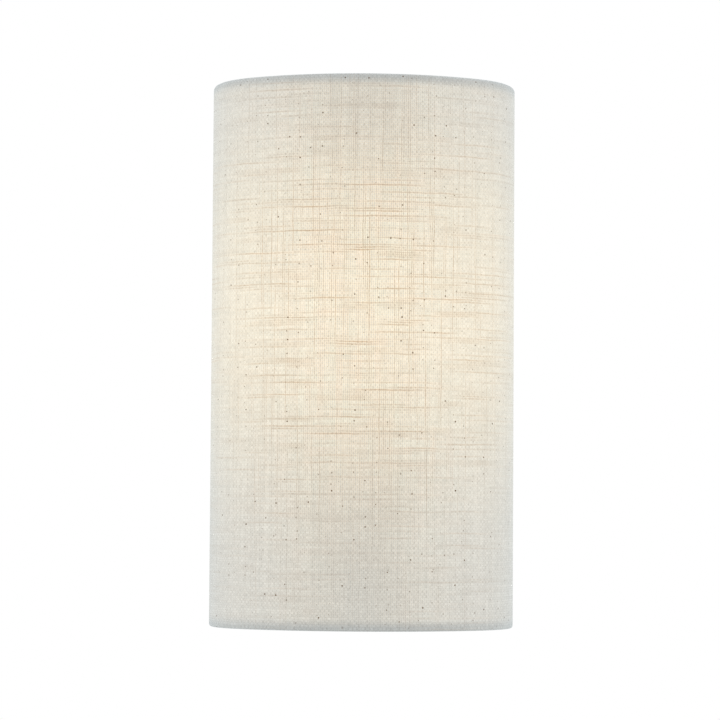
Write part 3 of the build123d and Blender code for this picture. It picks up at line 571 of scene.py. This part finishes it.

    # the cloth's colour: unbleached linen and husk, fat threads a little brown of their own, and painted
    # browner where the lamp's light behind shows them up
    glow = lamp_glow(tree, height)
    husk = husk_specks(tree, cloth)
    shown = add_node(
        tree, "MapRange", None, {"Value": glow, "From Min": 0.25, "To Min": 0.13, "To Max": 0.72}
    )
    brown_share = add_node(tree, "Math", MULTIPLY, {0: lines, 1: shown})
    threads = add_node(
        tree, "Mix", COLOURS, {"Factor": brown_share, "A": linear("#C9CBC8"), "B": linear("#AE895F")}
    )
    specked = add_node(tree, "Mix", COLOURS, {"Factor": husk, "A": threads, "B": linear("#664A2E")})
    toned = add_node(tree, "VectorMath", {"operation": "SCALE"}, {"Vector": specked, "Scale": shade})
    tree.links.new(toned.outputs[0], shader.inputs["Base Color"])

    # colour of the lamp's light through the cloth, in patches that run with the threads
    weft_patch = thread_noise(tree, along, thread_number(tree, across, 3 * WEFT_PITCH), 34, 5.3)
    warp_patch = thread_noise(tree, across, thread_number(tree, along, 3 * WARP_PITCH), 38, 19.1)
    patch_sum = add_node(tree, "Math", ADD, {0: weft_patch, 1: warp_patch})
    patches = add_node(tree, "MapRange", None, {"Value": patch_sum, "From Min": 0.75, "From Max": 1.25})
    shadow = holder_shadow(tree, height, from_middle)
    light = light_colour(tree, glow, shadow, from_middle, patches, lines)
    tree.links.new(light.outputs[2], shader.inputs["Emission Color"])

    # its strength: hardly any through the rolled rims and the hems, less through husk and aslant
    rim = add_node(
        tree, "MapRange", SMOOTH,
        {"Value": up_or_down, "From Min": 142.5 * MM, "From Max": 149 * MM, "To Min": 1.0, "To Max": 0.0},
    )
    hem = add_node(
        tree, "MapRange", SMOOTH,
        {"Value": from_wall, "From Min": 6 * MM, "From Max": 10 * MM, "To Min": 0.15, "To Max": 1.0},
    )
    aslant = add_node(
        tree, "MapRange", SMOOTH,
        {"Value": from_middle, "From Min": 66 * MM, "From Max": 83 * MM, "To Min": 1.0, "To Max": 0.86},
    )
    spread = add_node(
        tree, "MapRange", SMOOTH,
        {"Value": from_middle, "From Min": 18 * MM, "From Max": 46 * MM, "To Min": 0.97, "To Max": 1.02},
    )
    past_husk = add_node(tree, "Math", MULTIPLY_ADD, {0: husk, 1: -0.85, 2: 1.0})
    between = light_between(tree, warp, weft, height, from_middle)
    past_holder = add_node(tree, "Math", SUBTRACT, {0: 1.0, 1: shadow})
    strength = glow
    for factor in (rim, hem, aslant, past_husk, uneven, between, past_holder, spread):
        strength = add_node(tree, "Math", MULTIPLY, {0: strength, 1: factor})
    tree.links.new(strength.outputs[0], shader.inputs["Emission Strength"])
    return material


# ------------------------------------------------------------------ other materials
def new_finish(name, **sockets):
    """Material whose Principled shader has these plain values on its own sockets."""
    material = bpy.data.materials.new(name)
    material.use_nodes = True
    shader = material.node_tree.nodes["Principled BSDF"]
    for socket, value in sockets.items():
        shader.inputs[socket.replace("_", " ").title().replace("Ior", "IOR")].default_value = value
    return material, material.node_tree, shader


def add_grain(tree, shader, dark, light, grain_mm, depth_mm, smooth, rough, stretch=(1, 1, 1)):
    """Fine grain and broad cloudiness: colour between two codes, roughness between two values, relief."""
    place = add_node(tree, "TexCoord").outputs["Object"]
    fine_place = add_node(tree, "Mapping", None, {"Vector": place, "Scale": stretch})
    fine = add_node(
        tree, "TexNoise", None, {"Vector": fine_place, "Scale": 1 / (grain_mm * MM), "Detail": 3.0}
    ).outputs[0]
    # clouds of about 22 mm
    broad = add_node(tree, "TexNoise", None, {"Vector": place, "Scale": 45.0, "Detail": 4.0}).outputs[0]
    both = add_node(tree, "Mix", {"data_type": "FLOAT"}, {"Factor": 0.45, "A": fine, "B": broad})
    share = add_node(tree, "MapRange", None, {"Value": both, "From Min": 0.3, "From Max": 0.7})
    colour = add_node(tree, "Mix", COLOURS, {"Factor": share, "A": linear(dark), "B": linear(light)})
    tree.links.new(colour.outputs[2], shader.inputs["Base Color"])
    roughness = add_node(tree, "MapRange", None, {"Value": share, "To Min": smooth, "To Max": rough})
    tree.links.new(roughness.outputs[0], shader.inputs["Roughness"])
    bump = add_node(tree, "Bump", None, {"Strength": 0.6, "Distance": depth_mm * MM, "Height": fine})
    tree.links.new(bump.outputs[0], shader.inputs["Normal"])
    return colour.outputs[2]


def plain_finish(name, dark, light, grain_mm, depth_mm, smooth, rough, stretch=(1, 1, 1), **sockets):
    """Finish that is one colour to the eye, with its own grain, cloudiness and relief."""
    material, tree, shader = new_finish(name, **sockets)
    add_grain(tree, shader, dark, light, grain_mm, depth_mm, smooth, rough, stretch)
    return material


def styrene_liner():
    """High impact polystyrene, calendered: milky white, low gloss, faint orange peel; the lamp's light
    painted on.
    """
    material, tree, shader = new_finish("white styrene sheet", ior=1.59)
    add_grain(tree, shader, "#E6E3DB", "#EBE8E1", 2.2, 0.03, 0.42, 0.55)
    place = add_node(tree, "SeparateXYZ", None, {"Vector": add_node(tree, "TexCoord").outputs["Object"]})
    # painted light: the lamp's light on the liner, as emission that falls off with height
    glow = lamp_glow(tree, place.outputs["Z"])
    strength = add_node(tree, "Math", MULTIPLY, {0: glow, 1: 0.16})
    shader.inputs["Emission Color"].default_value = linear("#FFDFB4")
    tree.links.new(strength.outputs[0], shader.inputs["Emission Strength"])
    return material


def opal_globe():
    """Opal polycarbonate, blow moulded: milky and smooth, glows evenly, less at the neck by the board."""
    material, tree, shader = new_finish("opal polycarbonate", roughness=0.35, ior=1.58)
    add_grain(tree, shader, "#CCC7BB", "#D0CBC0", 1.5, 0.01, 0.30, 0.40)
    place = add_node(tree, "SeparateXYZ", None, {"Vector": add_node(tree, "TexCoord").outputs["Object"]})
    height = place.outputs["Z"]
    strength = add_node(
        tree, "MapRange", SMOOTH,
        {"Value": height, "From Min": -8 * MM, "From Max": 20 * MM, "To Min": 0.16, "To Max": 0.42},
    )
    shader.inputs["Emission Color"].default_value = linear("#FFE6C0")
    tree.links.new(strength.outputs[0], shader.inputs["Emission Strength"])
    return material


def earth_cable():
    """Flexible PVC, drawn over the core: smooth, green and yellow by turns along the wire."""
    material, tree, shader = new_finish("green and yellow PVC")
    colour = add_grain(tree, shader, "#4E8F2B", "#5A9C33", 0.8, 0.01, 0.35, 0.45)
    waves = add_node(
        tree, "TexWave", {"wave_type": "BANDS", "bands_direction": "DIAGONAL"},
        {"Vector": add_node(tree, "TexCoord").outputs["Object"], "Scale": 95.0, "Distortion": 0.0},
    )
    stripe = add_node(tree, "Math", {"operation": "GREATER_THAN"}, {0: waves.outputs[1], 1: 0.62})
    striped = add_node(tree, "Mix", COLOURS, {"Factor": stripe, "A": colour, "B": linear("#D8C024")})
    tree.links.new(striped.outputs[2], shader.inputs["Base Color"])
    return material


# ------------------------------------------------------------------ lampholder
def pick_faces(piece, wanted):
    """In edit mode, select only the faces that are wanted, by their middle and their normal."""
    shape = bmesh.from_edit_mesh(piece.data)
    for face in shape.faces:
        face.select_set(False)
    for face in shape.faces:
        if wanted(face.calc_center_median(), face.normal):
            face.select_set(True)
    bmesh.update_edit_mesh(piece.data)


def end_piece(piece, name, bevel, finish, body, stands_for):
    """Bevel a modelled piece, set it at the origin, give it its finish and body, and hide the CAD node it
    stands for.
    """
    sharp = radians(35)
    bpy.ops.object.mode_set(mode="OBJECT")
    rounding = piece.modifiers.new("bevel", "BEVEL")
    rounding.width = bevel
    rounding.segments = 2
    rounding.limit_method = "ANGLE"
    rounding.angle_limit = sharp
    bpy.ops.object.modifier_apply(modifier="bevel")
    bpy.ops.object.transform_apply(location=True, rotation=True, scale=True)
    bpy.ops.object.shade_smooth_by_angle(angle=sharp)
    piece.name = name
    piece.data.materials.clear()
    piece.data.materials.append(finish)
    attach(piece, body)
    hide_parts(stands_for)


def mould_skirt(finish):
    """Skirt of the lampholder: grip ribs round its middle, a plain mouth and a thin wall."""
    radius, wall, mouth, lip = 14 * MM, 1.5 * MM, 8.8 * MM, 1.5 * MM
    foot, top = -58 * MM, -20 * MM
    rib, rib_foot, rib_top, ribs = 0.5 * MM, -54 * MM, -30 * MM, 36
    step = 2 * pi / ribs
    axis = Vector((0, -LAMP_OUT * MM, 0))
    middle = Vector((0, 0, (top + foot) / 2))
    outwards = {"value": rib, "use_even_offset": True}

    def on_a_rib(spot, way):
        turn = atan2(spot.y - axis.y, spot.x) % step
        level = rib_foot < spot.z < rib_top and abs(way.z) < 0.5
        return level and turn < step / 3 and (spot - axis).xy.length < radius - 0.3 * MM

    def on_the_axis(spot):
        return (spot - axis).xy.length < 1 * MM

    bpy.ops.object.select_all(action="DESELECT")
    bpy.ops.mesh.primitive_cylinder_add(
        vertices=3 * ribs, radius=radius - rib, depth=top - foot, location=axis + middle
    )
    skirt = bpy.context.object
    bpy.ops.object.transform_apply(location=True)
    bpy.ops.object.mode_set(mode="EDIT")
    for height in (rib_foot, rib_top):
        bpy.ops.mesh.select_all(action="SELECT")
        bpy.ops.mesh.bisect(plane_co=(0, 0, height), plane_no=(0, 0, 1))
    # plain bands above and below the ribs stand as far out as they do
    for low, high in ((foot, rib_foot), (rib_top, top)):
        pick_faces(skirt, lambda spot, way: abs(way.z) < 0.5 and low < spot.z < high)
        bpy.ops.mesh.extrude_region_shrink_fatten(TRANSFORM_OT_shrink_fatten=outwards)
    pick_faces(skirt, on_a_rib)
    bpy.ops.mesh.extrude_region_shrink_fatten(TRANSFORM_OT_shrink_fatten=outwards)
    # mouth, then the hollow inside it, down to the open foot
    pick_faces(skirt, lambda spot, way: way.z > 0.9 and spot.z > top - lip and on_the_axis(spot))
    bpy.ops.mesh.inset(thickness=radius - rib - mouth)
    bpy.ops.mesh.extrude_region_move(TRANSFORM_OT_translate={"value": (0, 0, -lip)})
    bpy.ops.mesh.extrude_region_move(TRANSFORM_OT_translate={"value": (0, 0, 0)})
    wide = (radius - wall) / mouth
    bpy.ops.transform.resize(value=(wide, wide, 1), center_override=(axis.x, axis.y, top - lip))
    bpy.ops.mesh.extrude_region_move(TRANSFORM_OT_translate={"value": (0, 0, foot - top + lip)})
    bpy.ops.mesh.delete(type="FACE")
    pick_faces(skirt, lambda spot, way: way.z < -0.9 and spot.z < foot + 0.1 * MM and on_the_axis(spot))
    bpy.ops.mesh.delete(type="FACE")
    # join the two open rings at the foot
    bpy.ops.mesh.select_all(action="DESELECT")
    shape = bmesh.from_edit_mesh(skirt.data)
    for edge in shape.edges:
        edge.select_set(edge.is_boundary)
    bmesh.update_edit_mesh(skirt.data)
    bpy.ops.mesh.bridge_edge_loops()
    bpy.ops.mesh.select_all(action="SELECT")
    bpy.ops.mesh.remove_doubles(threshold=0.01 * MM)
    bpy.ops.mesh.normals_make_consistent(inside=False)
    end_piece(skirt, "ribbed_skirt", 0.16 * MM, finish, "wall_unit", "holder_skirt")


# ------------------------------------------------------------------ finish of each CAD node
def make_finishes():
    """Finishes by short name. Each has two colour codes, grain and relief in mm, and two roughnesses."""
    return {
        "styrene": styrene_liner(),
        # polyester powder baked on drawn wire: slightly soft white with a faint orange peel
        "wire coat": plain_finish("white powder coat on wire", "#DDDCD7", "#E4E3DE", 0.6, 0.02, 0.38, 0.5),
        # polyester powder baked on folded sheet steel: even satin white, fine orange peel
        "box coat": plain_finish("satin white powder coat", "#E2E2DF", "#E7E7E4", 0.9, 0.05, 0.38, 0.52),
        # zinc plate, clear passivated, over rolled sheet: grey metal, satin, with faint rolling lines
        "zinc": plain_finish(
            "bright zinc plate on steel", "#A3A5A4", "#BFC0BC", 0.35, 0.006, 0.24, 0.42, (0.12, 1, 1),
            metallic=1.0
        ),
        # zinc plate over cold-headed steel: brighter and smoother than the sheet
        "screw": plain_finish(
            "bright zinc plated screw", "#B2B3B2", "#C9C9C6", 0.3, 0.004, 0.2, 0.34, metallic=1.0
        ),
        # CW614N brass, turned and left bare: yellow metal with fine rings from the tool
        "brass": plain_finish(
            "turned plain brass", "#B8924C", "#D0AE68", 0.3, 0.005, 0.22, 0.4, (1, 1, 3), metallic=1.0
        ),
        # polyamide, moulded, for lampholders: slightly cream white, satin from the mould
        "holder": plain_finish("white moulded thermoplastic", "#DFDCD5", "#E5E2DB", 0.5, 0.01, 0.36, 0.48),
        # soapstone ceramic, pressed and fired without glaze: chalky, warm grey white
        "steatite": plain_finish("unglazed steatite", "#D5D1C6", "#E4E1D8", 0.25, 0.03, 0.7, 0.85),
        # EPDM rubber, moulded: near black, dull, fine matt skin
        "rubber": plain_finish("black rubber", "#161616", "#232322", 0.4, 0.02, 0.62, 0.78),
        # polyamide 6, moulded without pigment: milky, a little yellow, soft gloss
        "nylon": plain_finish("natural nylon", "#D6D4C8", "#E1DFD5", 0.6, 0.01, 0.4, 0.52, ior=1.53),
        # flexible PVC drawn over the cores: smooth and slightly waxy, in the live and neutral colours
        "brown": plain_finish("brown PVC", "#46281A", "#553322", 0.5, 0.008, 0.34, 0.46),
        "blue": plain_finish("blue PVC", "#234A8C", "#2F5AA0", 0.5, 0.008, 0.34, 0.46),
        "earth": earth_cable(),
        # tin plate over stamped brass: pale warm metal, softly shining
        "tin": plain_finish("tin plated brass", "#B5B1A4", "#CAC7BC", 0.3, 0.005, 0.28, 0.42, metallic=1.0),
        "opal": opal_globe(),
        # polybutylene terephthalate, moulded: clean white, fine satin
        "collar": plain_finish("white moulded PBT", "#E2E1DD", "#E8E7E4", 0.5, 0.01, 0.36, 0.46),
        # nickel plate over rolled brass: bright, faintly yellow mirror with little roughness
        "nickel": plain_finish(
            "nickel plated brass", "#B4B0A6", "#CBC8BF", 0.3, 0.004, 0.18, 0.3, metallic=1.0
        ),
        # vitrite, poured and set: glassy black
        "black ring": plain_finish("black glass insulator", "#0E0E10", "#1A1A1C", 0.5, 0.004, 0.16, 0.26),
        # white solder mask over aluminium board: flat white with a low gloss
        "board": plain_finish("white solder mask", "#DADCDB", "#E6E8E7", 0.5, 0.01, 0.34, 0.44),
        # silicone filled with yellow phosphor over the chips: matt, strong yellow
        "phosphor": plain_finish("yellow phosphor", "#E2C64C", "#EFD872", 0.4, 0.01, 0.3, 0.4),
    }


def finish_nodes(finishes):
    """Give every CAD node its finish, except the cover, which the linen stands for."""
    owners = {
        "styrene": ["shade_liner"],
        "wire coat": ["top_ring", "bottom_ring", "upright_left", "upright_right", "hanger_wire"],
        "box coat": ["wall_box"],
        "zinc": ["wall_strap", "hook_bracket", "lamp_bracket", "lock_washer", "earth_tag"],
        "screw": [
            "box_screws", "hook_rivets", "bracket_rivets", "earth_screw", "terminal_screws", "block_screw"
        ],
        "brass": ["threaded_tube", "tube_nut", "thread_shell", "centre_contact", "terminal_tubes"],
        "holder": ["holder_cap", "holder_skirt"],
        "steatite": ["holder_insert"],
        "rubber": ["wire_grommet"],
        "nylon": ["terminal_block"],
        "brown": ["live_wire"],
        "blue": ["neutral_wire"],
        "earth": ["earth_wire"],
        "tin": ["holder_terminals"],
        "opal": ["lamp_globe"],
        "collar": ["lamp_collar"],
        "nickel": ["lamp_cap", "lamp_contact"],
        "black ring": ["lamp_insulator"],
        "board": ["led_board"],
        "phosphor": ["led_chips"],
    }
    dressed = {"fabric_cover"}
    for finish, names in owners.items():
        for name in names:
            for slot in nodes[name].material_slots:
                slot.material = finishes[finish]
            dressed.add(name)
    left = sorted(set(nodes) - dressed)
    if left:
        raise SystemExit("no finish for " + ", ".join(left))


bpy.context.scene.view_settings.view_transform = "Standard"
place_camera()
light_scene()
lay_floor()
finishes = make_finishes()
finish_nodes(finishes)
weave_cover()
mould_skirt(finishes["holder"])
